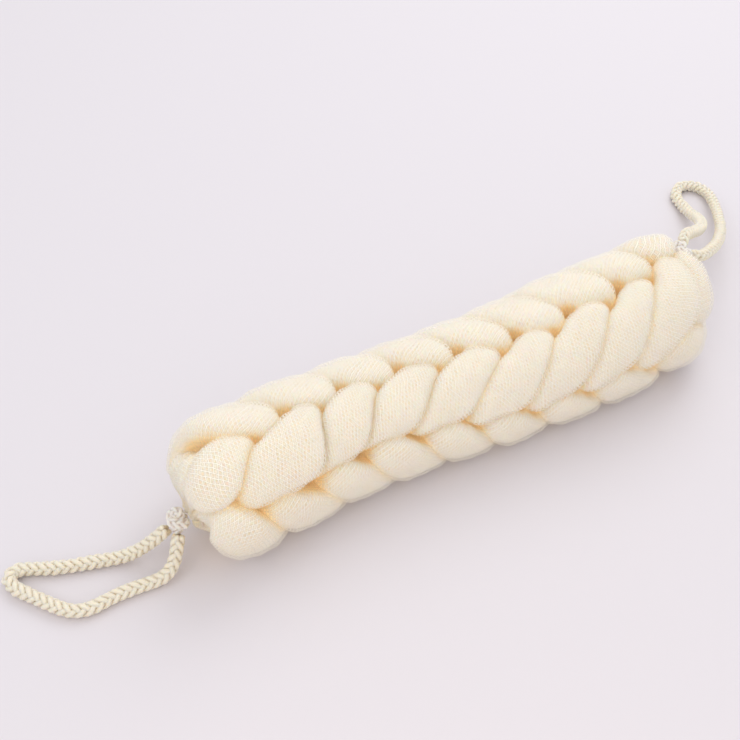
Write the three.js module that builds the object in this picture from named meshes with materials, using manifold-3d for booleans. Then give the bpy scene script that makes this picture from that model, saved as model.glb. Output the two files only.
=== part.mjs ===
// Braided bath-net back scrubber: eight puffy net tubes braided into a round body,
// lashed at both necks, with a rope loop tied on at each end.
// Units are millimetres. +X runs along the body, +Z is up, the body rests on z = 0.
import * as THREE from 'three';
import * as BufferGeometryUtils from 'three/addons/utils/BufferGeometryUtils.js';
import Module from 'manifold-3d';

const wasm = await Module();
wasm.setup();
const { Manifold } = wasm;

// ---------------------------------------------------------------- dimensions
const LAY = 42;                 // distance from one lobe to the next along a row
const PHASE_X = -23.5;          // x of one lobe's middle in the row that faces -Y and up
const R_MEAN = 16.3;            // mean distance of a net tube's middle from the body's middle
const R_SWING = 8.0;            // how far a tube moves out and in as it passes over and under
const TUBE_R = 22.6;            // radius of a free, uncrushed net tube
const CLEAR = 1.0;             // half of the gap left between neighbouring tubes
const ROW_X = [-160, -100, -54, -15, 32, 73, 130];
const ROW_TURN = [56, 60, 57, 51, 43, 42, 47];        // direction of the -Y and up row, degrees above -Y
const ROW_SQUEEZE = [20, 26, 25, 20, 13, 8, 8];       // degrees: that row is narrower than the rows beside it
const RIGHT_HAND = { shift: 7, lean: 18 };            // mm along the body: each family of tubes lies a little
const LEFT_HAND = { shift: -4, lean: 15 };            // along from the other, and its lobes lean over
const GIRTH_X = [-175, -128, -96, -54, -19, 30, 100, 160];
const GIRTH = [1.02, 0.97, 0.92, 0.92, 0.94, 0.97, 1.03, 1.05];   // slimmer left of the middle, fuller at the ends
const BOW_X = [-177, -128, -96, -54, -19, 26, 80, 154];
const BOW = [-1, 3, 6, 5, 3.5, 0.5, -0.5, 0];         // mm towards +Y: the soft body is not quite straight
const TURN_FROM = -195;         // the tubes only cross between these two places
const TURN_TO = 197.2;
const LEFT = { x0: -177, depth: 25, bulge: 0, neck: [-4, 31], tail: -200.4 };
const RIGHT = { x0: 151, depth: 27, bulge: 7, neck: [28.1, 55], tail: 195.1 };
const FILL_R = 27;              // the soft tube swells up to this where the body's round outline leaves room
const NECK_R = 5.1;             // distance of the tubes' middles from the neck's middle
const NECK_TUBE_R = 3.7;
const REST_SINK = 3.0;          // how far the soft lobes are pressed flat by the surface
const LASH_IN = 9.1, LASH_OUT = 11.4, LASH_LONG = 7.0;
const KNOT_R = 9.0;
const LEFT_KNOT = [-211, -4, 31];
const RIGHT_KNOT = [205.7, 28.1, 55];
const ROPE_D = 8.5;
const CENTRE_SHIFT = [2.7, -1.2, 0];   // brings the middle of the body's box to x = y = 0
const STEPS = 56, SIDES = 10;     // facets of a net tube

const DEG = Math.PI / 180;
const CREAM = 0xf4ecd2, ROPE = 0xe6dcc0, THREAD = 0xdccbb4;

// ---------------------------------------------------------------- helpers
const lerp = (a, b, t) => a + (b - a) * t;
const smooth = (a, b, x) => { const t = Math.min(1, Math.max(0, (x - a) / (b - a))); return t * t * (3 - 2 * t); };
function table(xs, ys, x) {
  if (x <= xs[0]) return ys[0];
  for (let i = 1; i < xs.length; i++) {
    if (x <= xs[i]) { const t = (x - xs[i - 1]) / (xs[i] - xs[i - 1]); return lerp(ys[i - 1], ys[i], t * t * (3 - 2 * t)); }
  }
  return ys[ys.length - 1];
}
const girth = (x) => table(GIRTH_X, GIRTH, x);
const rowTurn = (x) => table(ROW_X, ROW_TURN, x);
// middle of the body: it bows away slightly, and lies on its two lowest rows
function middle(x) {
  const t = rowTurn(x) * DEG, g = girth(x);
  const low = g * Math.max((R_MEAN + R_SWING) * Math.sin(Math.PI / 2 - t), (R_MEAN + R_SWING) * Math.sin(t)) + g * TUBE_R;
  return [table(BOW_X, BOW, x), low - REST_SINK];
}
// angle that the tubes have turned through at x; it stops where the crossing stops
function turned(x) {
  const ease = 10;
  const soft = (v, lim, s) => { const d = s * (v - lim); if (d < -ease) return v; if (d > ease) return lim; return lim - s * (ease - d) * (ease - d) / (4 * ease); };
  let v = soft(x, TURN_TO, 1); v = soft(v, TURN_FROM, -1);
  return (v - PHASE_X) * 90 / LAY;
}

// ---------------------------------------------------------------- middles of the net tubes
// hand = +1: the tubes that are on top in the two rows facing -Y/up and +Y/down; -1: the others
function tubePath(hand, index) {
  const pts = [];
  const place = (x, e, xa, end, blend) => {
    // xa: where along the body the turn is read; e: how far out; blend: 0 body, 1 neck
    const psi = hand * turned(xa) + 90 * index + (hand < 0 ? 45 : 0);
    const ang = (rowTurn(xa) + psi - table(ROW_X, ROW_SQUEEZE, xa) * Math.sin(2 * psi * DEG)) * DEG;
    const swing = R_SWING * smooth(0, 22, Math.min(xa - (TURN_FROM - 8), (TURN_TO + 8) - xa));
    const g = girth(xa);
    const r = lerp(g * e * (R_MEAN + lerp(1.5, hand * swing * Math.cos(2 * psi * DEG), swing / R_SWING)), NECK_R, blend);
    let [cy, cz] = middle(xa);
    if (end) { const k = Math.min(1, (1 - e) / 0.78); cy = lerp(cy, end.neck[0], k); cz = lerp(cz, end.neck[1], k); }
    const dy = -Math.cos(ang), dz = Math.sin(ang);
    const own = hand > 0 ? RIGHT_HAND : LEFT_HAND;
    const fade = (hand > 0 ? smooth(-6, 16, x - LEFT.x0) : smooth(-8, 30, x - LEFT.x0)) * smooth(-8, 30, RIGHT.x0 - x);
    const along = (own.shift + own.lean * Math.sin(2 * psi * DEG)) * fade;
    return { p: new THREE.Vector3(x + along, cy + r * dy, cz + r * dz), c: new THREE.Vector3(x, cy, cz), dy, dz };
  };
  const cap = (end, s) => {          // from the neck's outer end in to the body
    const list = [];
    const tipX = end.x0 + s * end.depth * Math.sin(78.5 * DEG);
    for (let x = end.tail; s * (x - tipX) > 0.5; x -= s * 1) list.push({ x, e: 0.2, b: 1, w: 0 });
    for (let t = 78.5; t > 0; t -= 2.2) list.push({ x: end.x0 + s * end.depth * Math.sin(t * DEG), e: Math.max(0.2, Math.cos(t * DEG)), b: smooth(0.45, 0.2, Math.cos(t * DEG)), w: Math.sin(2 * t * DEG) });
    return list;
  };
  const add = (list, end, s) => list.forEach((q) => {
    const xa = end.x0 + s * 30 * Math.sin(Math.acos(Math.min(1, q.e)));
    const o = place(q.x, q.e, xa, end, q.b);
    // lobes on the side away from an off-centre neck swell out past it
    const my = end.neck[0], mz = end.neck[1] - middle(end.x0)[1], m = Math.hypot(my, mz) || 1;
    const side = -(o.dy * my + o.dz * mz) / m;
    const push = s * end.bulge * 0.5 * (1 + side) * q.w;
    o.p.x += push; o.c.x += push * 0.5; pts.push(o);
  });
  add(cap(LEFT, -1), LEFT, -1);
  for (let x = LEFT.x0 + 1; x < RIGHT.x0; x += 1.5) pts.push(place(x, 1, x, null, 0));
  add(cap(RIGHT, 1).reverse(), RIGHT, 1);
  // round the corners off
  let P = pts.map((o) => o.p.clone()), C = pts.map((o) => o.c.clone());
  for (let k = 0; k < 14; k++) {
    const Q = P.map((p) => p.clone());
    for (let i = 1; i < P.length - 1; i++) Q[i].copy(P[i - 1]).add(P[i + 1]).multiplyScalar(0.25).addScaledVector(P[i], 0.5);
    P = Q;
  }
  // even steps
  const len = [0]; for (let i = 1; i < P.length; i++) len.push(len[i - 1] + P[i].distanceTo(P[i - 1]));
  const total = len[len.length - 1];
  const at = (s) => {
    let i = 1; while (i < len.length - 1 && len[i] < s) i++;
    const t = (s - len[i - 1]) / (len[i] - len[i - 1] || 1);
    return { p: P[i - 1].clone().lerp(P[i], t), c: C[i - 1].clone().lerp(C[i], t) };
  };
  return { total, at };
}

const tubes = [];
for (let k = 0; k < 4; k++) for (const hand of [1, -1]) tubes.push({ hand, index: k, ...tubePath(hand, k) });
for (const t of tubes) { t.dense = []; const n = Math.round(t.total / 2.5); for (let i = 0; i <= n; i++) t.dense.push(t.at(t.total * i / n).p); }

function freeRadius(t, s) {          // slim at the two necks, full in the body
  const d = Math.min(s, t.total - s);
  const x = t.at(s).p.x;
  const full = lerp(FILL_R, TUBE_R, smooth(120, 165, Math.abs(x - 5))) * girth(x);
  return lerp(NECK_TUBE_R, full, smooth(3, 26, d));
}

// a tube is pressed flat half-way to each neighbour and stays round where it is free
function tubeMesh(t, steps, sides, grow) {
  const rings = [];
  for (let i = 0; i <= steps; i++) {
    const f = i / steps;
    // closer steps near the necks
    const s = t.total * (f - 0.045 * Math.sin(2 * Math.PI * f) / (2 * Math.PI) * 6);
    const a = t.at(Math.max(0, s - 1.5)).p, b = t.at(Math.min(t.total, s + 1.5)).p, { p: q, c } = t.at(s);
    const tan = b.clone().sub(a).normalize();
    const bend = b.clone().add(a).addScaledVector(q, -2).multiplyScalar(1 / 2.25);
    const out = q.clone().sub(c); out.addScaledVector(tan, -out.dot(tan)).normalize();
    const side = new THREE.Vector3().crossVectors(tan, out);
    const free = freeRadius(t, s), round = (R_MEAN + R_SWING + TUBE_R) * girth(q.x);
    const near = [];
    for (const o of tubes) if (o !== t) for (const p of o.dense) { const d = p.clone().sub(q); const l = d.lengthSq(); if (l < 4 * 23 * 23) near.push([d, l]); }
    const ring = [];
    for (let j = 0; j < sides; j++) {
      const th = 2 * Math.PI * j / sides;
      const n = out.clone().multiplyScalar(Math.cos(th)).addScaledVector(side, Math.sin(th));
      let lim = 1e9;
      for (const [d, l] of near) { const k = d.dot(n); if (k > 1e-3) { const r = l / (2 * k); if (r < lim) lim = r; } }
      const w = [q.y - c.y, q.z - c.z], aa = n.y * n.y + n.z * n.z, bb = w[0] * n.y + w[1] * n.z;
      const disc = bb * bb + aa * (round * round - w[0] * w[0] - w[1] * w[1]);
      if (aa > 1e-3 && disc > 0) lim = Math.min(lim, Math.max(3, (Math.sqrt(disc) - bb) / aa));
      const kb = bend.dot(n); if (kb > 1e-4) lim = Math.min(lim, 0.8 / kb);
      let r = Math.pow(Math.pow(free, -7) + Math.pow(lim, -7), -1 / 7);
      r = Math.max(0.8, r - CLEAR + grow);
      ring.push(q.clone().addScaledVector(n, r));
    }
    rings.push({ ring, q });
  }
  const v = [], f = [];
  for (const r of rings) for (const p of r.ring) v.push(p.x, p.y, p.z);
  const idx = (i, j) => i * sides + ((j + sides) % sides);
  for (let i = 0; i < steps; i++) for (let j = 0; j < sides; j++) {
    f.push(idx(i, j), idx(i, j + 1), idx(i + 1, j + 1), idx(i, j), idx(i + 1, j + 1), idx(i + 1, j));
  }
  const c0 = v.length / 3; v.push(...rings[0].q.toArray());
  const c1 = v.length / 3; v.push(...rings[steps].q.toArray());
  for (let j = 0; j < sides; j++) { f.push(c0, idx(0, j + 1), idx(0, j)); f.push(c1, idx(steps, j), idx(steps, j + 1)); }
  let m = new Manifold(new wasm.Mesh({ numProp: 3, vertProperties: new Float32Array(v), triVerts: new Uint32Array(f) }));
  if (m.volume() < 0) {
    for (let i = 0; i < f.length; i += 3) { const k = f[i]; f[i] = f[i + 1]; f[i + 1] = k; }
    m = new Manifold(new wasm.Mesh({ numProp: 3, vertProperties: new Float32Array(v), triVerts: new Uint32Array(f) }));
  }
  return m;
}

function toManifold(geometry) {
  const g = geometry.clone(); g.deleteAttribute('normal'); g.deleteAttribute('uv');
  const w = BufferGeometryUtils.mergeVertices(g, 1e-4);
  return new Manifold(new wasm.Mesh({ numProp: 3, vertProperties: new Float32Array(w.attributes.position.array), triVerts: new Uint32Array(w.index.array) }));
}
function toGeometry(m) {
  const mesh = m.getMesh();
  const g = new THREE.BufferGeometry();
  const n = mesh.numProp, vp = mesh.vertProperties, pos = new Float32Array(vp.length / n * 3);
  for (let i = 0; i < vp.length / n; i++) { pos[3 * i] = vp[n * i]; pos[3 * i + 1] = vp[n * i + 1]; pos[3 * i + 2] = vp[n * i + 2]; }
  g.setAttribute('position', new THREE.BufferAttribute(pos, 3));
  g.setIndex(new THREE.BufferAttribute(new Uint32Array(mesh.triVerts), 1));
  g.computeVertexNormals();
  return g;
}
function largest(m) { const parts = m.decompose(); parts.sort((a, b) => b.volume() - a.volume()); return parts[0]; }

// ---------------------------------------------------------------- the assembly
const part = new THREE.Group();
part.name = 'braided_net_back_scrubber';
part.position.set(...CENTRE_SHIFT);
function add(name, geometry, color, roughness) {
  const mesh = new THREE.Mesh(geometry, new THREE.MeshStandardMaterial({ color, roughness, metalness: 0 }));
  mesh.name = name; part.add(mesh); return mesh;
}

// space kept free round the lashings and the knots
const ball = (c, r, n = 20) => Manifold.sphere(r, n).translate(c);
const rod = (x0, x1, y, z, r, n = 24) => Manifold.cylinder(x1 - x0, r, r, n).rotate([0, 90, 0]).translate([x0, y, z]);
const leftLash = LEFT.tail + 1.1, rightLash = RIGHT.tail - 1.1 - LASH_LONG;
const keepOut = (x0, y, z) => rod(x0 - 0.4, x0 + LASH_LONG + 0.4, y, z, LASH_OUT + 0.5).subtract(rod(x0 - 1, x0 + LASH_LONG + 1, y, z, LASH_IN - 0.35));
const keep = Manifold.union([
  keepOut(leftLash, LEFT.neck[0], LEFT.neck[1]),
  keepOut(rightLash, RIGHT.neck[0], RIGHT.neck[1]),
  ball(LEFT_KNOT, KNOT_R + 1.2), ball(RIGHT_KNOT, KNOT_R + 1.2),
]);

const nets = [];
tubes.forEach((t, k) => {
  let m = tubeMesh(t, STEPS, SIDES, 0).subtract(keep).trimByPlane([0, 0, 1], 0);
  for (const o of nets) if (m.intersect(o.m).volume() > 1e-6) m = m.subtract(o.grown);
  m = largest(m.simplify(0.12));
  for (const o of nets) if (m.intersect(o.m).volume() > 1e-6) m = largest(m.subtract(o.grown));
  for (const o of nets) if (m.intersect(o.m).volume() > 1e-6) m = largest(m.subtract(o.m));
  nets.push({ m, grown: tubeMesh(t, STEPS, SIDES, 0.3) });
  add(`net_strand_${k + 1}_${t.hand > 0 ? 'right' : 'left'}_hand`, toGeometry(m), CREAM, 0.75);
});

// thread lashings round the two necks: five turns side by side
function lashing(x0, y, z) {
  const turns = 5, w = LASH_LONG / turns, profile = [new THREE.Vector2(LASH_IN, 0)];
  for (let i = 0; i < turns; i++) for (const t of [0.12, 0.5, 0.88]) profile.push(new THREE.Vector2(LASH_OUT - (t === 0.5 ? 0 : 0.55), (i + t) * w));
  profile.push(new THREE.Vector2(LASH_IN, LASH_LONG), new THREE.Vector2(LASH_IN, 0));
  const g = new THREE.LatheGeometry(profile, 16);
  g.rotateZ(-Math.PI / 2); g.translate(x0, y, z);
  let m = toManifold(g);
  return toGeometry(m);
}
add('left_neck_lashing', lashing(leftLash, LEFT.neck[0], LEFT.neck[1]), THREAD, 0.8);
add('right_neck_lashing', lashing(rightLash, RIGHT.neck[0], RIGHT.neck[1]), THREAD, 0.8);

// the knot of each rope loop
function knot(c) { const g = new THREE.SphereGeometry(KNOT_R, 18, 12); g.translate(...c); return toGeometry(toManifold(g)); }
add('left_rope_knot', knot(LEFT_KNOT), ROPE, 0.8);
add('right_rope_knot', knot(RIGHT_KNOT), ROPE, 0.8);

// rope loops: one length of rope each, both ends going into the knot
const onKnot = (c, d) => { const v = new THREE.Vector3(...d).normalize().multiplyScalar(KNOT_R + 0.35); return [c[0] + v.x, c[1] + v.y, c[2] + v.z]; };
const LEFT_OUT = [-0.85, 0.12, -0.5], LEFT_BACK = [-0.3, -0.62, -0.72];
const RIGHT_OUT = [0.86, -0.3, -0.4], RIGHT_BACK = [0.72, 0.62, 0.1];
const LEFT_ROUTE = [
  onKnot(LEFT_KNOT, LEFT_OUT), [-227.6, -1.5, 19.2], [-239.7, 3, 9], [-249.3, 6.4, 5.4], [-258.7, 9.8, 4.4], [-268.2, 12.7, 4.4],
  [-277.7, 15.5, 4.4], [-286.9, 18.9, 4.4], [-295.9, 23, 4.4], [-303.5, 26.8, 4.4], [-310.2, 28.6, 4.4], [-315, 24.5, 4.4], [-313.8, 17.2, 4.4],
  [-308, 8.5, 4.4], [-300.6, -1.6, 4.4], [-294.3, -9.8, 4.4], [-288.3, -15.6, 4.4], [-280.8, -18.9, 4.4], [-272.8, -19.4, 4.4],
  [-264.9, -18.7, 4.4], [-255.8, -18.5, 4.4], [-245.6, -19.2, 4.4], [-236, -20.4, 4.8], [-228.4, -20.5, 6.8], [-222.4, -18.6, 11.5],
  [-218, -14.8, 17.6], onKnot(LEFT_KNOT, LEFT_BACK),
];
const RIGHT_ROUTE = [
  onKnot(RIGHT_KNOT, RIGHT_OUT), [221.4, 23.4, 48.2], [242, 31, 41], [262, 43.5, 32.5], [283, 61, 23], [303, 84, 14], [318.5, 106, 8],
  [325.5, 123, 4.8], [322, 134.5, 4.4], [310.5, 139, 4.4], [299.5, 131, 4.4], [295, 118, 5], [289.5, 102.3, 9.5], [282, 85.5, 17.5],
  [270, 70, 27], [254, 58, 36.5], [237, 48.2, 47.5], [220.6, 40.4, 56], onKnot(RIGHT_KNOT, RIGHT_BACK),
];
function rope(route, steps) {
  const curve = new THREE.CatmullRomCurve3(route.map((p) => new THREE.Vector3(...p)), false, 'centripetal');
  const sides = 10, shape = new THREE.Shape();
  for (let i = 0; i < sides; i++) { const a = 2 * Math.PI * i / sides; const x = ROPE_D / 2 * Math.cos(a), y = ROPE_D / 2 * Math.sin(a); if (i) shape.lineTo(x, y); else shape.moveTo(x, y); }
  shape.closePath();
  const g = new THREE.ExtrudeGeometry(shape, { steps, extrudePath: curve, bevelEnabled: false });
  return toGeometry(toManifold(g));
}
add('left_rope_loop', rope(LEFT_ROUTE, 36), ROPE, 0.8);
add('right_rope_loop', rope(RIGHT_ROUTE, 38), ROPE, 0.8);

export default part;
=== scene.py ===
"""Looks of the braided net back scrubber: puffy net tubes, thread wrappings, rope knots and braided rope loops."""
import bpy
import math
import numpy as np
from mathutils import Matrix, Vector


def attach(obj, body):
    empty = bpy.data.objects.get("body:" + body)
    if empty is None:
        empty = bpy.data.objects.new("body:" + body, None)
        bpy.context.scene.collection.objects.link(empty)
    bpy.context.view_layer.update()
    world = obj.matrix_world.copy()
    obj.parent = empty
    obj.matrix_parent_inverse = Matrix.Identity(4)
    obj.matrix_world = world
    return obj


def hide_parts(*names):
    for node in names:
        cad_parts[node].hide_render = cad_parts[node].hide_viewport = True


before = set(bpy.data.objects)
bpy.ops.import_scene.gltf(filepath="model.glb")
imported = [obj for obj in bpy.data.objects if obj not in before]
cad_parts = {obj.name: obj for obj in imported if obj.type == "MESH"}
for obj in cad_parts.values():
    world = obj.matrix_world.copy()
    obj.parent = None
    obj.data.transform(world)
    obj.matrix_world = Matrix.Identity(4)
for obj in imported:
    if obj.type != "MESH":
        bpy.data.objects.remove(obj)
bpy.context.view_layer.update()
SCENE = bpy.context.scene
MM = 0.001
SHIFT = np.array([2.7, -1.2, 0.0])          # from the drawing's millimetres to the part's frame

# ------------------------------------------------------------------ camera
AZ, EL, DIST, FOCAL_PX = 241.2213536, 46.0, 770.0, 1109.5378951
aim = Vector((np.array([-46.4608, 49.0852, 35.0]) + SHIFT) * MM)
a, e = math.radians(AZ), math.radians(EL)
out = Vector((math.cos(a) * math.cos(e), math.sin(a) * math.cos(e), math.sin(e)))
cam = bpy.data.cameras.new("camera")
camera = bpy.data.objects.new("camera", cam)
SCENE.collection.objects.link(camera)
camera.location = aim + out * (DIST * MM)
camera.rotation_euler = (-out).to_track_quat("-Z", "Y").to_euler()
cam.sensor_width = 36.0
cam.lens = FOCAL_PX / 740.0 * 36.0
cam.clip_start, cam.clip_end = 0.01, 20
SCENE.camera = camera

# ------------------------------------------------------------------ dimensions of the braid, in millimetres
LAY, PHASE_X = 42.0, -23.5
R_MEAN, R_SWING, TUBE_R = 16.3, 8.0, 22.6
ROW_X = [-160, -100, -54, -15, 32, 73, 130]
ROW_TURN = [56, 60, 57, 51, 43, 42, 47]           # where the front row of puffs faces, in degrees
ROW_SQUEEZE = [20, 26, 25, 20, 13, 8, 8]          # how much narrower it is than its neighbours
RIGHT_SHIFT, RIGHT_LEAN = 7.0, 18.0               # right-hand tubes: shift along the body, and lean of each puff
LEFT_SHIFT, LEFT_LEAN = -4.0, 15.0                # the same for left-hand tubes
GIRTH_X = [-175, -128, -96, -54, -19, 30, 100, 160]
GIRTH = [1.02, 0.97, 0.92, 0.92, 0.94, 0.97, 1.03, 1.05]
BOW_X = [-177, -128, -96, -54, -19, 26, 80, 154]
BOW = [-1, 3, 6, 5, 3.5, 0.5, -0.5, 0]            # how far the body bends sideways
REST_SINK = 3.0
TURN_FROM, TURN_TO = -195.0, 197.2
LEFT = dict(x0=-177.0, depth=25.0, bulge=0.0, neck=(-4.0, 31.0), tail=-200.4)
RIGHT = dict(x0=151.0, depth=27.0, bulge=7.0, neck=(28.1, 55.0), tail=195.1)
FILL_R, NECK_R, NECK_TUBE_R = 27.0, 5.1, 3.7
LEFT_KNOT, RIGHT_KNOT = np.array([-211.0, -4.0, 31.0]), np.array([205.7, 28.1, 55.0])
KNOT_R, ROPE_D = 9.0, 8.5
CLEAR = 0.18
DEG = math.pi / 180


def lerp(p, q, t):
    return p + (q - p) * t


def smooth(lo, hi, x):
    t = np.clip((np.asarray(x, float) - lo) / (hi - lo), 0, 1)
    return t * t * (3 - 2 * t)


def table(xs, ys, x):
    if x <= xs[0]:
        return ys[0]
    for i in range(1, len(xs)):
        if x <= xs[i]:
            t = (x - xs[i - 1]) / (xs[i] - xs[i - 1])
            return lerp(ys[i - 1], ys[i], t * t * (3 - 2 * t))
    return ys[-1]


def girth(x):
    return table(GIRTH_X, GIRTH, x)


def row_turn(x):
    return table(ROW_X, ROW_TURN, x)


def middle(x):
    t, g = row_turn(x) * DEG, girth(x)
    low = g * max((R_MEAN + R_SWING) * math.sin(math.pi / 2 - t), (R_MEAN + R_SWING) * math.sin(t)) + g * TUBE_R
    return table(BOW_X, BOW, x), low - REST_SINK


def turned(x):
    ease = 10.0

    def soft(v, lim, s):
        d = s * (v - lim)
        if d < -ease:
            return v
        if d > ease:
            return lim
        return lim - s * (ease - d) * (ease - d) / (4 * ease)
    return (soft(soft(x, TURN_TO, 1), TURN_FROM, -1) - PHASE_X) * 90 / LAY


def tube_path(hand, index):
    P, C = [], []

    def place(x, e, xa, end, blend):
        psi = hand * turned(xa) + 90 * index + (45 if hand < 0 else 0)
        ang = (row_turn(xa) + psi - table(ROW_X, ROW_SQUEEZE, xa) * math.sin(2 * psi * DEG)) * DEG
        swing = R_SWING * float(smooth(0, 22, min(xa - (TURN_FROM - 8), (TURN_TO + 8) - xa)))
        g = girth(xa)
        r = lerp(g * e * (R_MEAN + lerp(1.5, hand * swing * math.cos(2 * psi * DEG), swing / R_SWING)), NECK_R, blend)
        cy, cz = middle(xa)
        if end:
            k = min(1, (1 - e) / 0.78)
            cy, cz = lerp(cy, end["neck"][0], k), lerp(cz, end["neck"][1], k)
        dy, dz = -math.cos(ang), math.sin(ang)
        drift = RIGHT_SHIFT + RIGHT_LEAN * math.sin(2 * psi * DEG) if hand > 0 else LEFT_SHIFT + LEFT_LEAN * math.sin(2 * psi * DEG)
        near = float(smooth(-6, 16, x - LEFT["x0"])) if hand > 0 else float(smooth(-8, 30, x - LEFT["x0"]))
        return [x + drift * near * float(smooth(-8, 30, RIGHT["x0"] - x)), cy + r * dy, cz + r * dz], [x, cy, cz], dy, dz

    def cap(end, s):
        rows, tip = [], end["x0"] + s * end["depth"] * math.sin(78.5 * DEG)
        x = end["tail"]
        while s * (x - tip) > 0.5:
            rows.append((x, 0.2, 1.0, 0.0))
            x -= s
        t = 78.5
        while t > 0:
            rows.append((end["x0"] + s * end["depth"] * math.sin(t * DEG), max(0.2, math.cos(t * DEG)),
                         float(smooth(0.2, 0.45, math.cos(t * DEG))), math.sin(2 * t * DEG)))
            t -= 2.2
        return [(x, e, (b if i_ == 1.0 else b), w) for (x, e, b, w), i_ in zip(rows, [0] * len(rows))]

    def add(rows, end, s):
        for x, e, b, w in rows:
            xa = end["x0"] + s * 30 * math.sin(math.acos(min(1, e)))
            p, c, dy, dz = place(x, e, xa, end, b)
            my, mz = end["neck"][0], end["neck"][1] - middle(end["x0"])[1]
            m = math.hypot(my, mz) or 1
            push = s * end["bulge"] * 0.5 * (1 - (dy * my + dz * mz) / m) * w
            p[0] += push
            c[0] += 0.5 * push
            P.append(p)
            C.append(c)

    def fix(rows):       # the neck's share falls from 1 to 0 as the body opens out
        return [(x, e, 1.0 if w == 0.0 and e == 0.2 and b == 1.0 else 1.0 - b, w) for x, e, b, w in rows]
    add(fix(cap(LEFT, -1)), LEFT, -1)
    x = LEFT["x0"] + 1
    while x < RIGHT["x0"]:
        p, c, _, _ = place(x, 1.0, x, None, 0.0)
        P.append(p)
        C.append(c)
        x += 1.5
    add(fix(cap(RIGHT, 1))[::-1], RIGHT, 1)
    P, C = np.array(P), np.array(C)
    for _ in range(14):
        Q = P.copy()
        Q[1:-1] = 0.25 * (P[:-2] + P[2:]) + 0.5 * P[1:-1]
        P = Q
    run = np.concatenate([[0], np.cumsum(np.linalg.norm(np.diff(P, axis=0), axis=1))])
    return P, C, run


def at(line, run, s):
    return np.stack([np.interp(s, run, line[:, k]) for k in range(3)], axis=-1)


TUBES = []
for k in range(4):
    for hand in (1, -1):
        P, C, run = tube_path(hand, k)
        total = run[-1]
        TUBES.append(dict(hand=hand, k=k, P=P, C=C, run=run, total=total,
                          dense=at(P, run, np.linspace(0, total, int(total / 1.25)))))


def unit(v):
    return v / np.maximum(np.linalg.norm(v, axis=-1, keepdims=True), 1e-12)


def envelope(pts):
    """How deep points lie under the body's smooth outline, in millimetres."""
    x = pts[..., 0]
    xc = np.clip(x, LEFT["x0"], RIGHT["x0"])
    g = np.vectorize(girth)(xc)
    mid = np.array([middle(v) for v in np.linspace(LEFT["x0"], RIGHT["x0"], 60)])
    xs = np.linspace(LEFT["x0"], RIGHT["x0"], 60)
    cy, cz = np.interp(xc, xs, mid[:, 0]), np.interp(xc, xs, mid[:, 1])
    R = (R_MEAN + R_SWING + TUBE_R) * g
    over_l = np.clip((LEFT["x0"] - x) / 33.0, 0, 0.98)
    over_r = np.clip((x - RIGHT["x0"]) / 42.0, 0, 0.98)
    over = np.maximum(over_l, over_r)
    R = R * np.sqrt(1 - over ** 2)
    ny = np.where(x > 0, RIGHT["neck"][0], LEFT["neck"][0])
    nz = np.where(x > 0, RIGHT["neck"][1], LEFT["neck"][1])
    cy, cz = cy + (ny - cy) * over ** 2, cz + (nz - cz) * over ** 2
    return R - np.hypot(pts[..., 1] - cy, pts[..., 2] - cz)


def grid_mesh(name, V, uv=None, attrs=None, closed=True, caps=True):
    """A tube of rings: V is rings x sides x 3 in metres."""
    n, m, _ = V.shape
    verts = V.reshape(-1, 3)
    i, j = np.meshgrid(np.arange(n - 1), np.arange(m if closed else m - 1), indexing="ij")
    j2 = (j + 1) % m
    quads = np.stack([i * m + j, i * m + j2, (i + 1) * m + j2, (i + 1) * m + j], axis=-1).reshape(-1, 4)
    mesh = bpy.data.meshes.new(name)
    loops, starts, totals = [quads.reshape(-1)], [np.arange(len(quads)) * 4], [np.full(len(quads), 4)]
    extra = []
    if caps:
        c0, c1 = len(verts), len(verts) + 1
        verts = np.vstack([verts, V[0].mean(0), V[-1].mean(0)])
        jj = np.arange(m)
        t0 = np.stack([np.full(m, c0), (jj + 1) % m, jj], axis=-1)
        t1 = np.stack([np.full(m, c1), (n - 1) * m + jj, (n - 1) * m + (jj + 1) % m], axis=-1)
        tri = np.concatenate([t0, t1])
        loops.append(tri.reshape(-1))
        starts.append(len(quads) * 4 + np.arange(len(tri)) * 3)
        totals.append(np.full(len(tri), 3))
    loops, starts = np.concatenate(loops), np.concatenate(starts)
    mesh.vertices.add(len(verts))
    mesh.vertices.foreach_set("co", verts.astype(np.float32).ravel())
    mesh.loops.add(len(loops))
    mesh.loops.foreach_set("vertex_index", loops.astype(np.int32))
    mesh.polygons.add(len(starts))
    mesh.polygons.foreach_set("loop_start", starts.astype(np.int32))
    mesh.update(calc_edges=True)
    if uv is not None:
        layer = mesh.uv_layers.new(name="UVMap")
        uvv = uv.reshape(-1, 2)
        if caps:
            uvv = np.vstack([uvv, uv[0].mean(0), uv[-1].mean(0)])
        vals = uvv[loops]
        if closed:      # the last quad of each ring runs on past the seam
            q = len(quads)
            wrap = np.zeros(len(loops), bool)
            last = (j.reshape(-1) == m - 1)
            idx = np.arange(q)[last]
            span = uv[0, 1, 1] - uv[0, 0, 1]
            for o in (1, 2):
                vals[idx * 4 + o, 1] = vals[idx * 4 + (0 if o == 1 else 3), 1] + span
        layer.data.foreach_set("uv", vals.astype(np.float32).ravel())
    for key, val in (attrs or {}).items():
        layer = mesh.attributes.new(key, "FLOAT", "POINT")
        val = val.reshape(-1)
        if caps:
            val = np.concatenate([val, [val[0], val[-1]]])
        layer.data.foreach_set("value", val.astype(np.float32))
    mesh.polygons.foreach_set("use_smooth", np.ones(len(starts), bool))
    obj = bpy.data.objects.new(name, mesh)
    SCENE.collection.objects.link(obj)
    return obj


STEPS, SIDES = 560, 96
STITCH = 2.0            # one stitch of the net, in millimetres


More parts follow.
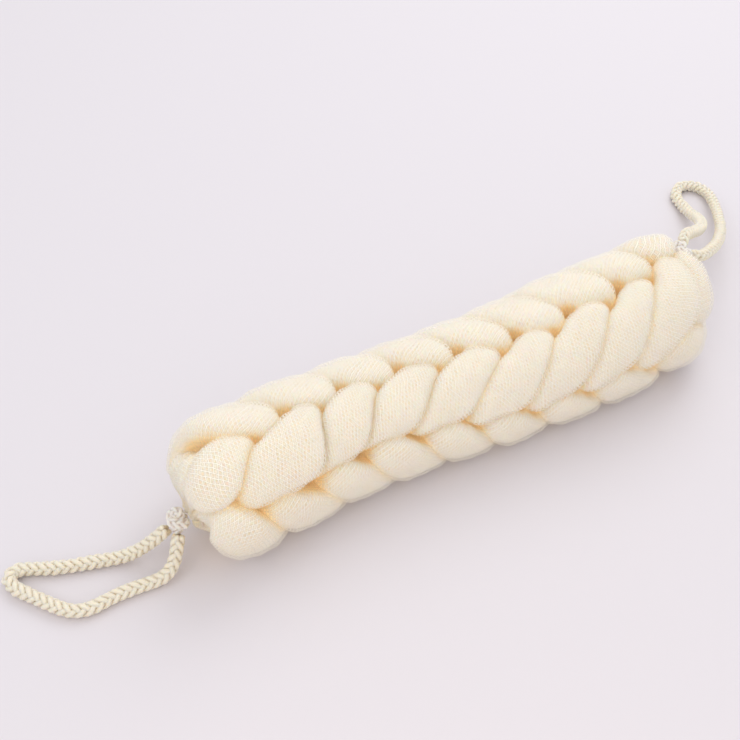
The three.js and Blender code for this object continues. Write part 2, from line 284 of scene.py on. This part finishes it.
def net_tube(index, inset=0.0):
    t = TUBES[index]
    rng = np.random.default_rng(40 + index)
    f = np.linspace(0, 1, STEPS + 1)
    s = t["total"] * (f - 0.045 * np.sin(2 * np.pi * f) / (2 * np.pi) * 6)
    A, B = at(t["P"], t["run"], np.maximum(0, s - 1.5)), at(t["P"], t["run"], np.minimum(t["total"], s + 1.5))
    Q, C = at(t["P"], t["run"], s), at(t["C"], t["run"], s)
    tan = unit(B - A)
    bend = (A + B - 2 * Q) / 2.25
    o = Q - C
    o -= tan * (o * tan).sum(1, keepdims=True)
    o = unit(o)
    side = np.cross(tan, o)
    d_end = np.minimum(s, t["total"] - s)
    g = np.array([girth(x) for x in Q[:, 0]])
    full = (FILL_R + (TUBE_R - FILL_R) * smooth(120, 165, np.abs(Q[:, 0] - 5))) * g
    free = NECK_TUBE_R + (full - NECK_TUBE_R) * smooth(3, 26, d_end)
    envr = (R_MEAN + R_SWING + TUBE_R) * g
    th = 2 * np.pi * np.arange(SIDES) / SIDES
    n = o[:, None, :] * np.cos(th)[None, :, None] + side[:, None, :] * np.sin(th)[None, :, None]
    others = [x["dense"] for i, x in enumerate(TUBES) if i != index]
    p, q = 7.0, 3.6
    acc = np.zeros((STEPS + 1, SIDES))
    nearest = np.full((STEPS + 1, SIDES), 1e9)
    second = np.full((STEPS + 1, SIDES), 1e9)
    for pts in others:
        for i in range(STEPS + 1):
            d = pts - Q[i]
            l = (d * d).sum(1)
            sel = l < 4 * 26 * 26
            if not sel.any():
                continue
            k = d[sel] @ n[i].T
            r = np.where(k > 1e-3, l[sel][:, None] / (2 * np.maximum(k, 1e-3)), 1e9).min(0)
            second[i] = np.minimum(second[i], np.maximum(nearest[i], r))
            nearest[i] = np.minimum(nearest[i], r)
            acc[i] += r ** -q
    near = 1.085 * np.maximum(acc, 1e-12) ** (-1 / q)     # soft tubes press into one another
    acc = near ** -p + free[:, None] ** -p
    w = Q[:, 1:] - C[:, 1:]
    aa = n[..., 1] ** 2 + n[..., 2] ** 2
    bb = w[:, None, 0] * n[..., 1] + w[:, None, 1] * n[..., 2]
    disc = bb * bb + aa * (envr ** 2 - (w ** 2).sum(1))[:, None]
    env = np.where((aa > 1e-3) & (disc > 0), np.maximum(3, (np.sqrt(np.maximum(disc, 0)) - bb) / np.maximum(aa, 1e-3)), 1e9)
    acc += env ** -p
    kb = (bend[:, None, :] * n).sum(-1)
    acc += np.where(kb > 1e-4, 0.8 / np.maximum(kb, 1e-4), 1e9) ** -p
    r = np.maximum(0.8, 1.035 * acc ** (-1 / p) - inset)
    # on the far upper side the puffs lie pressed together, with hardly a groove
    V = Q[:, None, :] + n * r[..., None]
    face = np.degrees(np.arctan2(V[..., 2] - C[:, None, 2], -(V[..., 1] - C[:, None, 1])))
    r = r * (1 + 0.105 * np.exp(-((face - 125) / 34) ** 2))
    # where three tubes meet the net is drawn in to a dimple
    pit = 1 - smooth(1.0, 1.6, second / np.maximum(r, 1))
    r = r * (1 - 0.32 * pit * smooth(20, 50, d_end)[:, None])
    # a soft tube has no sharp kinks along or around: relax a little
    for _ in range(14):
        r = 0.5 * r + 0.25 * (np.roll(r, 1, 1) + np.roll(r, -1, 1))
        r[1:-1] = 0.5 * r[1:-1] + 0.25 * (r[:-2] + r[2:])
    V = Q[:, None, :] + n * r[..., None]
    depth = envelope(V)
    neck = 1 - smooth(8, 34, d_end)
    # gathered folds run along the tube where it is pinched
    gather = np.maximum(np.maximum(smooth(5.0, 15.0, depth), neck[:, None] * 0.9), 0.8 * pit)
    u = s[:, None]
    ph = rng.uniform(0, 6.28, 6)
    drift = 0.9 * np.sin(u / 23 + ph[0]) + 0.5 * np.sin(u / 9.5 + ph[1])
    folds = (0.55 * np.cos(21 * th[None] + drift + ph[2]) + 0.45 * np.cos(29 * th[None] - 1.3 * drift + ph[3])
             + 0.30 * np.cos(13 * th[None] + 0.7 * drift + ph[4]))
    # big soft unevenness of a hand-braided tube
    lumps = (0.35 * np.cos(3 * th[None] + u / 31 + ph[5]) + 0.28 * np.cos(5 * th[None] - u / 17 + ph[1])
             + 0.22 * np.sin(u / 8.5 + 2 * th[None] + ph[0]))
    scale = np.clip(r / 12, 0.15, 1)
    r2 = r + (0.85 * gather * folds + 0.05 * folds * (1 - gather) + lumps * 0.8 * (1 - neck[:, None])) * scale - 0.25 * gather * scale
    r2 = np.maximum(0.7, r2)
    V = Q[:, None, :] + n * r2[..., None]
    # pressed flat where it lies on the surface
    z = V[..., 2]
    soft = 1.6
    V[..., 2] = np.where(z > 8, z, soft * np.log1p(np.exp(np.minimum(z, 20) / soft))) + 0.02
    # seam: how near the tube presses on a neighbour; the material paints shade and a warm glow along it
    seam = (1 - smooth(0.98, 1.45, nearest / np.maximum(r, 1))) * (1 - 0.45 * np.exp(-((face - 125) / 34) ** 2))
    outer_side = np.cos(th) > 0.45
    stride = np.linalg.norm(np.diff(V, axis=0), axis=-1)[:, outer_side].mean(1)
    along = np.concatenate([[0], np.cumsum(np.convolve(np.pad(stride, 4, mode="edge"), np.full(9, 1 / 9), mode="valid"))])
    uv = np.stack([np.broadcast_to(along[:, None] / STITCH, r.shape), np.broadcast_to(th[None] / (2 * np.pi) * 76, r.shape)], axis=-1)
    name = f"net_tube_{index + 1}"
    # deep: how far a point lies in a dimple or hollow under the body's outline; the material paints shade and a warm
    # glow there, and it holds the loose outer layer down
    deep = np.clip(smooth(4.0, 16.0, depth) + 0.75 * pit, 0, 1) * (0.35 + 0.65 * smooth(14, 44, d_end))[:, None]
    obj = grid_mesh(name, (V + SHIFT) * MM, uv, dict(deep=deep, seam=seam, veil=np.zeros(r.shape)))
    # a loose outer layer of the same net stands a little off the puffs
    stand = smooth(0.93, 1.12, nearest / np.maximum(r, 1)) * (1 - 0.8 * deep) * (1 - neck[:, None])
    flutter = 0.22 * np.sin(u / 3.1 + 5 * th[None] + ph[0]) + 0.18 * np.sin(u / 2.3 - 9 * th[None] + ph[4])
    W = V + n * (0.12 + (1.75 + 1.5 * flutter) * stand)[..., None]
    W[..., 2] = np.maximum(W[..., 2], 0.03)
    outer = grid_mesh(name + "_outer", (W + SHIFT) * MM, uv, dict(deep=deep, seam=seam, veil=np.ones(r.shape)), caps=False)
    with bpy.context.temp_override(active_object=obj, object=obj, selected_objects=[obj, outer], selected_editable_objects=[obj, outer]):
        bpy.ops.object.join()
    return obj


# ------------------------------------------------------------------ node helpers
class Nodes:
    def __init__(self, name):
        self.mat = bpy.data.materials.new(name)
        self.mat.use_nodes = True
        self.t = self.mat.node_tree
        self.t.nodes.clear()
        self.outp = self.t.nodes.new("ShaderNodeOutputMaterial")

    def new(self, kind, **props):
        n = self.t.nodes.new(kind)
        for k, v in props.items():
            setattr(n, k, v)
        return n

    def link(self, a, b):
        self.t.links.new(a, b)

    def put(self, sock, v):
        if isinstance(v, bpy.types.NodeSocket):
            self.link(v, sock)
        else:
            sock.default_value = v

    def math(self, op, *v):
        n = self.new("ShaderNodeMath", operation=op)
        for i, x in enumerate(v):
            self.put(n.inputs[i], x)
        return n.outputs[0]

    def attr(self, name):
        return self.new("ShaderNodeAttribute", attribute_name=name).outputs["Fac"]

    def mix(self, fac, c1, c2):
        n = self.new("ShaderNodeMix", data_type="RGBA")
        self.put(n.inputs[0], fac)
        self.put(n.inputs[6], c1)
        self.put(n.inputs[7], c2)
        return n.outputs[2]

    def span(self, v, lo, hi, a=0.0, b=1.0):
        n = self.new("ShaderNodeMapRange", interpolation_type="SMOOTHSTEP")
        self.put(n.inputs[0], v)
        for i, x in enumerate((lo, hi, a, b)):
            n.inputs[i + 1].default_value = x
        return n.outputs[0]

    def noise(self, vec, scale, detail=3.0, rough=0.5):
        n = self.new("ShaderNodeTexNoise")
        if vec is not None:
            self.link(vec, n.inputs["Vector"])
        n.inputs["Scale"].default_value = scale
        n.inputs["Detail"].default_value = detail
        n.inputs["Roughness"].default_value = rough
        return n


def net_material():
    m = Nodes("net")
    uv = m.new("ShaderNodeUVMap", uv_map="UVMap").outputs[0]
    sep = m.new("ShaderNodeSeparateXYZ")
    m.link(uv, sep.inputs[0])
    geo = m.new("ShaderNodeTexCoord").outputs["Object"]
    wob = m.noise(geo, 55.0, 2.0)
    wsep = m.new("ShaderNodeSeparateColor")
    m.link(wob.outputs["Color"], wsep.inputs[0])
    U = m.math("ADD", sep.outputs[0], m.math("MULTIPLY", m.math("SUBTRACT", wsep.outputs[0], 0.5), 2.2))
    V = m.math("ADD", sep.outputs[1], m.math("MULTIPLY", m.math("SUBTRACT", wsep.outputs[1], 0.5), 2.2))
    # rows of small diamond holes between crossing stitches
    s1 = m.math("ABSOLUTE", m.math("SINE", m.math("MULTIPLY", m.math("ADD", U, m.math("MULTIPLY", V, 0.3)), math.pi * 0.72)))
    s2 = m.math("ABSOLUTE", m.math("SINE", m.math("MULTIPLY", m.math("SUBTRACT", m.math("MULTIPLY", U, 0.5), V), math.pi * 0.6)))
    hole = m.math("MULTIPLY", s1, m.math("ADD", m.math("MULTIPLY", s2, 0.6), 0.4))
    hole = m.span(hole, 0.25, 0.95)
    # a second layer of the same net shows through, turned a little
    U2 = m.math("ADD", m.math("MULTIPLY", U, 0.83), m.math("MULTIPLY", V, 0.31))
    V2 = m.math("SUBTRACT", m.math("MULTIPLY", V, 0.83), m.math("MULTIPLY", U, 0.31))
    t1 = m.math("ABSOLUTE", m.math("SINE", m.math("MULTIPLY", m.math("ADD", U2, V2), math.pi * 0.62)))
    t2 = m.math("ABSOLUTE", m.math("SINE", m.math("MULTIPLY", m.math("SUBTRACT", U2, V2), math.pi * 0.62)))
    under = m.span(m.math("MULTIPLY", t1, t2), 0.3, 0.95)
    deep, seam = m.attr("deep"), m.attr("seam")
    patch = m.noise(geo, 22.0, 3.0).outputs["Fac"]
    # painted shade: in dimples, hollows and seams the net's colour turns darker and warm orange, for shade and for
    # light soaked through the layers
    painted_crease_shade = m.math("MAXIMUM", deep, m.math("MULTIPLY", seam, 0.18))
    painted_crease_shade = m.math("MINIMUM", m.math("MULTIPLY", painted_crease_shade, m.span(patch, 0.2, 0.8, 0.85, 1.15)), 1.0)
    top = m.mix(painted_crease_shade, (0.93, 0.88, 0.78, 1), (0.93, 0.73, 0.40, 1))
    low = m.mix(painted_crease_shade, (0.84, 0.715, 0.50, 1), (0.84, 0.60, 0.27, 1))
    # painted shade: where the holes open, the darker, warmer colour of the shaded layers inside shows
    openness = m.math("MULTIPLY", m.math("ADD", m.math("MULTIPLY", hole, 0.75), m.math("MULTIPLY", m.math("MULTIPLY", hole, under), 0.5)),
                      m.span(patch, 0.3, 0.7, 0.45, 0.8))
    base = m.mix(openness, top, low)
    height = m.math("SUBTRACT", 1.0, hole)
    height = m.math("ADD", height, m.math("MULTIPLY", m.math("SUBTRACT", 1.0, under), 0.25))
    bump = m.new("ShaderNodeBump")
    bump.inputs["Strength"].default_value = 0.8
    bump.inputs["Distance"].default_value = 0.0005
    m.link(height, bump.inputs["Height"])
    b = m.new("ShaderNodeBsdfPrincipled")
    m.link(base, b.inputs["Base Color"])
    # light that has soaked through the layers of net comes back warm out of the hollows
    b.inputs["Emission Color"].default_value = (1.0, 0.81, 0.54, 1)
    glow = m.math("ADD", m.math("MULTIPLY", deep, 0.13), m.math("MULTIPLY", m.math("MULTIPLY", seam, seam), 0.22))
    m.link(m.math("MINIMUM", glow, 0.23), b.inputs["Emission Strength"])
    b.inputs["Roughness"].default_value = 0.62
    b.inputs["Specular IOR Level"].default_value = 0.22
    b.inputs["Sheen Weight"].default_value = 0.55
    b.inputs["Sheen Roughness"].default_value = 0.45
    b.inputs["Sheen Tint"].default_value = (1.0, 0.97, 0.9, 1)
    b.inputs["Subsurface Weight"].default_value = 0.85
    b.inputs["Subsurface Radius"].default_value = (1.0, 0.72, 0.38)
    b.inputs["Subsurface Scale"].default_value = 0.011
    m.link(bump.outputs[0], b.inputs["Normal"])
    # the outer layer is open between its threads
    w1 = m.math("ABSOLUTE", m.math("SINE", m.math("MULTIPLY", m.math("ADD", m.math("MULTIPLY", U, 0.85), m.math("MULTIPLY", V, 0.42)), math.pi)))
    w2 = m.math("ABSOLUTE", m.math("SINE", m.math("MULTIPLY", m.math("SUBTRACT", m.math("MULTIPLY", U, 0.85), m.math("MULTIPLY", V, 0.42)), math.pi)))
    gap = m.span(m.math("MINIMUM", w1, w2), 0.22, 0.62)
    veil = m.attr("veil")

    def blend(fac, one, two):
        n = m.new("ShaderNodeMixShader")
        m.put(n.inputs[0], fac)
        m.link(one, n.inputs[1])
        m.link(two, n.inputs[2])
        return n.outputs[0]
    # painted shade: the loose layer's threads also turn darker and warm in the hollows and seams
    thread = m.mix(painted_crease_shade, (0.99, 0.965, 0.90, 1), (0.97, 0.84, 0.60, 1))
    face, through = m.new("ShaderNodeBsdfDiffuse"), m.new("ShaderNodeBsdfTranslucent")
    m.link(thread, face.inputs[0])
    m.link(thread, through.inputs[0])
    loose = blend(0.5, face.outputs[0], through.outputs[0])
    loose = blend(m.math("MULTIPLY", gap, 0.97), loose, m.new("ShaderNodeBsdfTransparent").outputs[0])
    m.link(blend(veil, b.outputs[0], loose), m.outp.inputs[0])
    return m.mat


def rope_material(name, hi, lo, scale=1.0):
    m = Nodes(name)
    uv = m.new("ShaderNodeUVMap", uv_map="UVMap").outputs[0]
    sep = m.new("ShaderNodeSeparateXYZ")
    m.link(uv, sep.inputs[0])
    # fine fibres twisted round each strand
    geo = m.new("ShaderNodeTexCoord").outputs["Object"]
    wob = m.noise(geo, 300.0, 2.0).outputs["Fac"]
    lay = m.math("ADD", m.math("MULTIPLY", sep.outputs[0], 0.9 * scale), m.math("MULTIPLY", sep.outputs[1], 7.0))
    fib = m.math("SINE", m.math("ADD", m.math("MULTIPLY", lay, 2 * math.pi), m.math("MULTIPLY", wob, 5.0)))
    fib = m.span(fib, -1.0, 1.0)
    fine = m.noise(geo, 900.0, 3.0).outputs["Fac"]
    # painted shade: deep in the plait's creases the strand takes the darker lo colour
    painted_crease_shade = m.attr("deep")
    col = m.mix(painted_crease_shade, hi, lo)
    col = m.mix(m.math("MULTIPLY", m.math("SUBTRACT", 1.0, fib), 0.16), col, lo)
    bump = m.new("ShaderNodeBump")
    bump.inputs["Strength"].default_value = 0.5
    bump.inputs["Distance"].default_value = 0.0002
    m.link(m.math("ADD", fib, m.math("MULTIPLY", fine, 0.6)), bump.inputs["Height"])
    b = m.new("ShaderNodeBsdfPrincipled")
    m.link(col, b.inputs["Base Color"])
    b.inputs["Roughness"].default_value = 0.5
    b.inputs["Specular IOR Level"].default_value = 0.35
    b.inputs["Sheen Weight"].default_value = 0.3
    b.inputs["Sheen Roughness"].default_value = 0.4
    b.inputs["Subsurface Weight"].default_value = 0.35
    b.inputs["Subsurface Radius"].default_value = (1.0, 0.75, 0.5)
    b.inputs["Subsurface Scale"].default_value = 0.002
    m.link(bump.outputs[0], b.inputs["Normal"])
    m.link(b.outputs[0], m.outp.inputs[0])
    return m.mat


NET = net_material()
# the second colour of the rope and the knot is their painted shade deep in the plait, and also the colour of the fibre
# lines
ROPE = rope_material("rope", (0.92, 0.85, 0.70, 1), (0.76, 0.60, 0.38, 1))
KNOT = rope_material("knot", (0.97, 0.92, 0.84, 1), (0.70, 0.52, 0.40, 1))
THREAD = rope_material("thread", (0.80, 0.68, 0.58, 1), (0.52, 0.38, 0.28, 1), 2.0)


def dress(obj, mat, body):
    obj.data.materials.append(mat)
    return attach(obj, body)


# ------------------------------------------------------------------ ropes
def catmull(route, per=24):
    """Centripetal Catmull-Rom through the route's points, as the drawing's curve."""
    R = np.array(route, float)
    R = np.vstack([2 * R[0] - R[1], R, 2 * R[-1] - R[-2]])
    res = []
    for i in range(1, len(R) - 2):
        p0, p1, p2, p3 = R[i - 1:i + 3]
        t0 = 0.0
        t1 = t0 + np.linalg.norm(p1 - p0) ** 0.5
        t2 = t1 + np.linalg.norm(p2 - p1) ** 0.5
        t3 = t2 + np.linalg.norm(p3 - p2) ** 0.5
        t = np.linspace(t1, t2, per, endpoint=False)[:, None]
        A1 = (t1 - t) / (t1 - t0) * p0 + (t - t0) / (t1 - t0) * p1
        A2 = (t2 - t) / (t2 - t1) * p1 + (t - t1) / (t2 - t1) * p2
        A3 = (t3 - t) / (t3 - t2) * p2 + (t - t2) / (t3 - t2) * p3
        B1 = (t2 - t) / (t2 - t0) * A1 + (t - t0) / (t2 - t0) * A2
        B2 = (t3 - t) / (t3 - t1) * A2 + (t - t1) / (t3 - t1) * A3
        res.append((t2 - t) / (t2 - t1) * B1 + (t - t1) / (t2 - t1) * B2)
    res.append(R[-2][None])
    return np.vstack(res)


def even(line, step):
    run = np.concatenate([[0], np.cumsum(np.linalg.norm(np.diff(line, axis=0), axis=1))])
    n = max(3, int(run[-1] / step))
    return at(line, run, np.linspace(0, run[-1], n + 1)), run[-1]


def frames(line, up=(0.0, 0.0, 1.0), closed=False):
    tan = np.gradient(line, axis=0)
    if closed:
        tan = np.roll(line, -1, 0) - np.roll(line, 1, 0)
    tan = unit(tan)
    N = np.zeros_like(line)
    v = np.array(up, float)
    v = v - tan[0] * v.dot(tan[0])
    if np.linalg.norm(v) < 1e-3:
        v = np.cross(tan[0], [0, 1, 0])
    N[0] = v / np.linalg.norm(v)
    for i in range(1, len(line)):
        v = N[i - 1] - tan[i] * N[i - 1].dot(tan[i])
        N[i] = v / np.linalg.norm(v)
    if closed:      # share the leftover twist out
        v = N[-1] - tan[0] * N[-1].dot(tan[0])
        ang = math.atan2(np.cross(v, N[0]).dot(tan[0]), v.dot(N[0]))
        w = np.linspace(0, ang, len(line))
        N = N * np.cos(w)[:, None] + np.cross(tan, N) * np.sin(w)[:, None]
    return tan, N, np.cross(tan, N)


def tubes_mesh(name, lines, radii, sides=10, closed=False, uvscale=1.0, deep=None):
    """Several round tubes joined in one mesh. Lines are in the drawing's millimetres."""
    allv, faces, uvs, dp = [], [], [], []
    base = 0
    for q, line in enumerate(lines):
        r = radii[q]
        tan, N, B = frames(line, closed=closed)
        n = len(line)
        th = 2 * np.pi * np.arange(sides) / sides
        rr = np.broadcast_to(np.asarray(r, float), (n,))
        ring = N[:, None, :] * np.cos(th)[None, :, None] + B[:, None, :] * np.sin(th)[None, :, None]
        V = line[:, None, :] + ring * rr[:, None, None]
        allv.append(V.reshape(-1, 3))
        i, j = np.meshgrid(np.arange(n if closed else n - 1), np.arange(sides), indexing="ij")
        i2, j2 = (i + 1) % n, (j + 1) % sides
        faces.append((np.stack([i * sides + j, i * sides + j2, i2 * sides + j2, i2 * sides + j], -1).reshape(-1, 4) + base))
        run = np.concatenate([[0], np.cumsum(np.linalg.norm(np.diff(line, axis=0), axis=1))])
        uq = np.stack([run[i], j / sides, ], -1)
        uv = np.stack([np.stack([run[i], j / sides], -1), np.stack([run[i], (j + 1) / sides], -1),
                       np.stack([run[np.minimum(i + 1, n - 1)], (j + 1) / sides], -1), np.stack([run[np.minimum(i + 1, n - 1)], j / sides], -1)], -2)
        uvs.append((uv * [uvscale, 1.0]).reshape(-1, 2))
        dd = deep[q] if deep is not None else np.zeros((n, sides))
        dp.append(np.broadcast_to(dd, (n, sides)).reshape(-1))
        base += n * sides
        if not closed:      # rounded-off ends
            for end, ringi in ((0, 0), (1, n - 1)):
                c = line[ringi] + (tan[ringi] * (1 if end else -1)) * rr[ringi] * 0.6
                allv.append(c[None])
                dp.append(dp[-1][:1] if len(dp[-1]) else np.zeros(1))
                r0 = base - (n * sides if end == 0 else n * sides + 1) + ringi * sides
                for j_ in range(sides):
                    a_, b_ = r0 + j_, r0 + (j_ + 1) % sides
                    faces.append(np.array([[base, b_, a_, -1]] if end == 0 else [[base, a_, b_, -1]]))
                    uvs.append(np.array([[0, 0]] * 3, float))
                base += 1
    verts = np.vstack(allv) + SHIFT
    verts[:, 2] = np.maximum(verts[:, 2], 0.05)      # nothing sinks into the surface below
    verts = verts * MM
    F = np.vstack(faces)
    size = np.where(F[:, 3] < 0, 3, 4)
    loops = F.reshape(-1)
    loops = loops[loops >= 0]
    mesh = bpy.data.meshes.new(name)
    mesh.vertices.add(len(verts))
    mesh.vertices.foreach_set("co", verts.astype(np.float32).ravel())
    mesh.loops.add(len(loops))
    mesh.loops.foreach_set("vertex_index", loops.astype(np.int32))
    mesh.polygons.add(len(F))
    mesh.polygons.foreach_set("loop_start", np.concatenate([[0], np.cumsum(size)[:-1]]).astype(np.int32))
    mesh.update(calc_edges=True)
    layer = mesh.uv_layers.new(name="UVMap")
    layer.data.foreach_set("uv", np.vstack(uvs).astype(np.float32).ravel())
    layer = mesh.attributes.new("deep", "FLOAT", "POINT")
    layer.data.foreach_set("value", np.concatenate(dp).astype(np.float32))
    mesh.polygons.foreach_set("use_smooth", np.ones(len(F), bool))
    obj = bpy.data.objects.new(name, mesh)
    SCENE.collection.objects.link(obj)
    return obj


def plait(name, line, across, lay=5.4, step=0.6, sides=8, closed=False, seed=1):
    """Eight-strand plaited rope along a line: four strands wind one way and four the other, over two and under two."""
    rng = np.random.default_rng(seed)
    line, long = even(line, step)
    tan, N, B = frames(line, closed=closed)
    s = np.linspace(0, long, len(line))
    if closed:
        turns = max(1, round(long / (4 * lay)))
        lay = long / (4 * turns)
    k = across / 8.5
    r0, swing, r = 2.42 * k, 0.62 * k, 1.72 * k
    lines, radii, deep = [], [], []
    for hand in (1, -1):
        for i in range(4):
            psi = hand * s / lay * 90 + 90 * i + (45 if hand < 0 else 0)
            ps = psi * DEG
            rad = r0 + hand * swing * np.cos(2 * ps)
            wob = 1 + 0.03 * np.sin(s / 3.7 + rng.uniform(0, 6.28))
            P = line + (N * np.cos(ps)[:, None] + B * np.sin(ps)[:, None]) * (rad * wob)[:, None]
            lines.append(P)
            radii.append(r * (1 + 0.05 * hand * np.cos(2 * ps)) * wob)
            # painted shade: dark where a point of the strand lies deep in the plait
            t2, n2, b2 = frames(P, closed=closed)
            th = 2 * np.pi * np.arange(sides) / sides
            V = P[:, None, :] + (n2[:, None, :] * np.cos(th)[None, :, None] + b2[:, None, :] * np.sin(th)[None, :, None]) * r
            d = V - line[:, None, :]
            d = d - tan[:, None, :] * (d * tan[:, None, :]).sum(-1, keepdims=True)
            deep.append(1 - smooth(2.5 * k, 4.1 * k, np.linalg.norm(d, axis=-1)))
    return tubes_mesh(name, lines, radii, sides, closed=closed, deep=deep), line, long


def on_knot(c, d):
    d = np.array(d, float)
    return (c + d / np.linalg.norm(d) * (KNOT_R + 0.35)).tolist()


LEFT_ROUTE = [
    on_knot(LEFT_KNOT, (-0.85, 0.12, -0.5)), [-227.6, -1.5, 19.2], [-239.7, 3, 9], [-249.3, 6.4, 5.4], [-258.7, 9.8, 4.4], [-268.2, 12.7, 4.4],
    [-277.7, 15.5, 4.4], [-286.9, 18.9, 4.4], [-295.9, 23, 4.4], [-303.5, 26.8, 4.4], [-310.2, 28.6, 4.4], [-315, 24.5, 4.4], [-313.8, 17.2, 4.4],
    [-308, 8.5, 4.4], [-300.6, -1.6, 4.4], [-294.3, -9.8, 4.4], [-288.3, -15.6, 4.4], [-280.8, -18.9, 4.4], [-272.8, -19.4, 4.4],
    [-264.9, -18.7, 4.4], [-255.8, -18.5, 4.4], [-245.6, -19.2, 4.4], [-236, -20.4, 4.8], [-228.4, -20.5, 6.8], [-222.4, -18.6, 11.5],
    [-218, -14.8, 17.6], on_knot(LEFT_KNOT, (-0.3, -0.62, -0.72))]
RIGHT_ROUTE = [
    on_knot(RIGHT_KNOT, (0.86, -0.3, -0.4)), [221.4, 23.4, 48.2], [242, 31, 41], [262, 43.5, 32.5], [283, 61, 23], [303, 84, 14], [318.5, 106, 8],
    [325.5, 123, 4.8], [322, 134.5, 4.4], [310.5, 139, 4.4], [299.5, 131, 4.4], [295, 118, 5], [289.5, 102.3, 9.5], [282, 85.5, 17.5],
    [270, 70, 27], [254, 58, 36.5], [237, 48.2, 47.5], [220.6, 40.4, 56], on_knot(RIGHT_KNOT, (0.72, 0.62, 0.1))]


def rope_loop(name, route, node, body, knot):
    line = catmull(route)
    obj, path, long = plait(name, line, ROPE_D, seed=len(name))
    dress(obj, ROPE, body)
    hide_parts(node)
    return obj


def rope_knot(name, centre, towards, node, body):
    """A tight overhand knot of the loop's rope: a trefoil turned to face along the neck."""
    t = np.linspace(0, 2 * np.pi, 400, endpoint=False)
    K = np.stack([np.sin(t) + 2 * np.sin(2 * t), np.cos(t) - 2 * np.cos(2 * t), -np.sin(3 * t)], -1)
    K *= np.array([1.86, 1.86, 3.1])
    z = unit(np.array(towards, float))
    x = unit(np.cross([0.0, 0.0, 1.0], z))
    y = np.cross(z, x)
    line = centre + K[:, :1] * x + K[:, 1:2] * y + K[:, 2:] * z
    obj, _, _ = plait(name, line, 6.4, lay=4.2, step=0.5, closed=True, seed=5)
    dress(obj, KNOT, body)
    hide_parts(node)
    return obj


def wrapping(name, x0, x1, r0, r1, centre, turns, thick, node, seed, lead=None):
    """Turns of thread wound tightly round the neck, with two strands crossing over them."""
    rng = np.random.default_rng(seed)
    t = np.linspace(0, 1, turns * 40)
    ang = 2 * np.pi * turns * t
    x = x0 + (x1 - x0) * t + 0.35 * np.sin(ang + 0.6) + 0.12 * np.sin(0.37 * ang)
    r = r0 + (r1 - r0) * t + 0.22 * np.sin(0.5 * ang + rng.uniform(0, 6))
    L = [np.stack([x, centre[0] + r * np.cos(ang), centre[1] + r * np.sin(ang)], -1)]
    for q in range(3):
        a0 = rng.uniform(0, 6.28)
        u = np.linspace(0, 1, 60)
        xx = x0 - 0.2 + (x1 - x0 + 0.4) * u
        rr = r0 + (r1 - r0) * u + thick * 0.75 * np.sin(np.pi * u) ** 0.5
        aa = a0 + (1.6 if q % 2 else -1.4) * u
        L.append(np.stack([xx, centre[0] + rr * np.cos(aa), centre[1] + rr * np.sin(aa)], -1))
    obj = tubes_mesh(name, L, [thick / 2] * len(L), 8)
    dress(obj, THREAD, "net_body")
    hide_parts(node)
    return obj


rope_loop("left_rope", LEFT_ROUTE, "left_rope_loop", "left_loop", None)
rope_loop("right_rope", RIGHT_ROUTE, "right_rope_loop", "right_loop", None)
rope_knot("left_knot_rope", LEFT_KNOT, (-1, 0, -0.2), "left_rope_knot", "left_knot")
rope_knot("right_knot_rope", RIGHT_KNOT, (1, 0.2, 0.0), "right_rope_knot", "right_knot")
wrapping("left_thread_wrapping", -199.3, -191.8, 10.2, 10.6, LEFT["neck"], 6, 1.35, "left_neck_lashing", 3)
wrapping("right_thread_wrapping", 186.8, 194.6, 10.8, 9.6, RIGHT["neck"], 6, 1.35, "right_neck_lashing", 4)

for i in range(8):
    obj = net_tube(i)
    dress(obj, NET, "net_body")
    hand = "right" if TUBES[i]["hand"] > 0 else "left"
    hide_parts(f"net_strand_{i + 1}_{hand}_hand")

# ------------------------------------------------------------------ floor, light
mesh = bpy.data.meshes.new("floor")
S = 4.0
mesh.from_pydata([(-S, -S, 0), (S, -S, 0), (S, S, 0), (-S, S, 0)], [], [(0, 1, 2, 3)])
floor = bpy.data.objects.new("floor", mesh)
SCENE.collection.objects.link(floor)
m = Nodes("floor")
b = m.new("ShaderNodeBsdfPrincipled")
b.inputs["Base Color"].default_value = (0.75, 0.72, 0.755, 1)
b.inputs["Roughness"].default_value = 0.6
b.inputs["Specular IOR Level"].default_value = 0.3
m.link(b.outputs[0], m.outp.inputs[0])
mesh.materials.append(m.mat)

world = bpy.data.worlds.new("world")
SCENE.world = world
world.use_nodes = True
bg = world.node_tree.nodes["Background"]
bg.inputs[0].default_value = (0.985, 0.972, 0.985, 1)
bg.inputs[1].default_value = 0.86


def area(name, where, size, power, colour, look=(0, 0, 0.03)):
    l = bpy.data.lights.new(name, "AREA")
    l.shape = "DISK"
    l.size, l.energy, l.color = size, power, colour
    o = bpy.data.objects.new(name, l)
    o.location = where
    o.rotation_euler = (Vector(look) - Vector(where)).to_track_quat("-Z", "Y").to_euler()
    SCENE.collection.objects.link(o)
    return o


area("key", (0.95, 0.75, 1.45), 1.5, 9.5, (0.975, 0.975, 0.975))
area("fill", (-1.0, -0.4, 1.5), 1.6, 4.0, (0.97, 0.98, 1.0))
area("glow", (-0.22, -0.42, 0.20), 0.5, 0.18, (1.0, 0.70, 0.42), (0.0, -0.05, 0.0))
SCENE.view_settings.view_transform = "Standard"
SCENE.view_settings.look = "None"
SCENE.view_settings.exposure = 0.0
